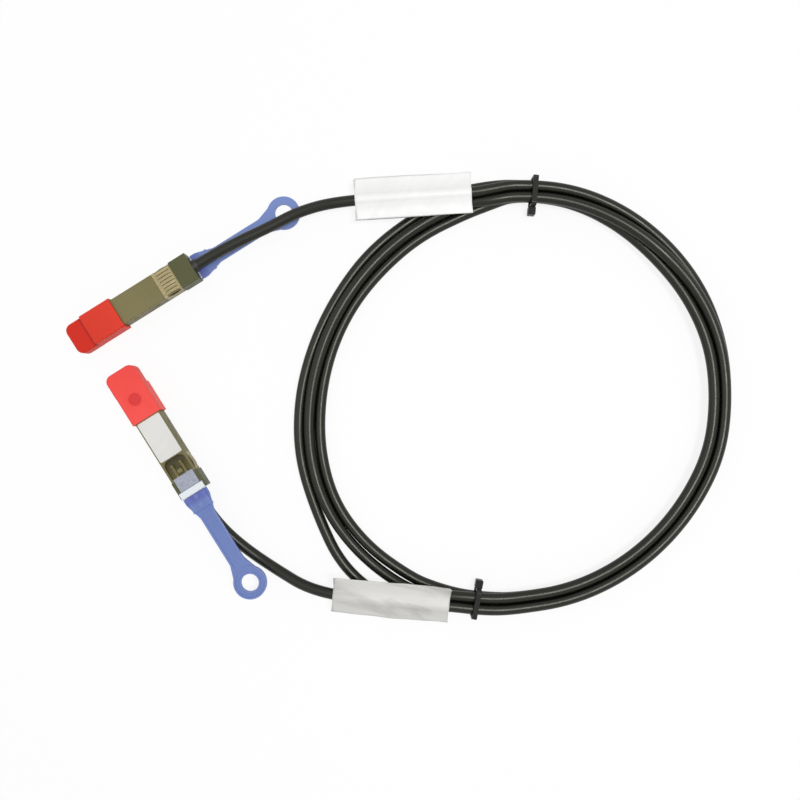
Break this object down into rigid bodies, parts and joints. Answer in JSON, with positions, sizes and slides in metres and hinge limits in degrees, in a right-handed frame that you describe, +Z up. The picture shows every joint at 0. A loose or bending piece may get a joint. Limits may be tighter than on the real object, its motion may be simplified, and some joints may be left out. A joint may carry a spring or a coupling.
{
  "type": "direct attach copper cable",
  "caption": "Coiled twinax network cable with a pluggable metal module at each end, each with a sprung pull tab and a push-on dust cap.",
  "frame": {"origin": "on the surface the cable lies on, at the middle of the two plugs' footprint (dust caps and pull tabs included, cord left out)", "axes": "+X from plug A's insertion end towards its cord, +Y from plug B's cord towards its insertion end, +Z up"},
  "size_m": [0.2721, 0.2469, 0.0127],
  "materials": {
    "shell": "satin nickel on zinc die casting",
    "collar": "bright spring sheet",
    "card": "solder mask",
    "contact": "gold plate",
    "chip": "moulded package",
    "capacitor": "ceramic",
    "pair": "foil-wrapped pair",
    "wire": "tinned copper",
    "ferrule": "plated",
    "boot": "matt",
    "slider": "stamped, bright",
    "spring": "bright",
    "tab": "satin",
    "rivet": "bright",
    "cap": "soft gloss",
    "sticker": "paper white",
    "cable": "semi-matt jacket",
    "label": "satin film",
    "tie": "nylon"
  },
  "bodies": {
    "cable_and_shells": {"base_shell_a": "shell", "cover_shell_a": "shell", "emi_collar_a": "collar", "paddle_card_a": "card", "edge_contacts_a": "contact", "memory_chip_a": "chip", "coupling_capacitors_a": "capacitor", "twinax_pairs_a": "pair", "wire_ends_a": "wire", "crimp_ferrule_a": "ferrule", "strain_relief_a": "boot", "return_springs_a": "spring", "base_shell_b": "shell", "cover_shell_b": "shell", "emi_collar_b": "collar", "paddle_card_b": "card", "edge_contacts_b": "contact", "memory_chip_b": "chip", "coupling_capacitors_b": "capacitor", "twinax_pairs_b": "pair", "wire_ends_b": "wire", "crimp_ferrule_b": "ferrule", "strain_relief_b": "boot", "return_springs_b": "spring", "shell_label_b": "sticker", "cable_coil": "cable", "cable_lead_a": "cable", "cable_lead_b": "cable", "wrap_label_a": "label", "wrap_label_b": "label", "cable_tie_top": "tie", "cable_tie_bottom": "tie"},
    "dust_cap_a": {"dust_cap_a": "cap"},
    "release_a": {"release_slider_a": "slider", "pull_tab_a": "tab", "tab_rivets_a": "rivet"},
    "dust_cap_b": {"dust_cap_b": "cap"},
    "release_b": {"release_slider_b": "slider", "pull_tab_b": "tab", "tab_rivets_b": "rivet"}
  },
  "joints": [
    {"name": "dust_cap_a_pull", "type": "slide", "parent": "cable_and_shells", "child": "dust_cap_a", "axis": [-1, 0, 0], "range_m": [0, 0.015]},
    {"name": "release_a_pull", "type": "slide", "parent": "cable_and_shells", "child": "release_a", "axis": [1, 0, 0], "range_m": [0, 0.0025], "stiffness_N_per_m": 1000, "springref_m": -0.002, "deforming": ["return_springs_a"]},
    {"name": "dust_cap_b_pull", "type": "slide", "parent": "cable_and_shells", "child": "dust_cap_b", "axis": [0, 1, 0], "range_m": [0, 0.015]},
    {"name": "release_b_pull", "type": "slide", "parent": "cable_and_shells", "child": "release_b", "axis": [0, -1, 0], "range_m": [0, 0.0025], "stiffness_N_per_m": 1000, "springref_m": -0.002, "deforming": ["return_springs_b"]}
  ]
}
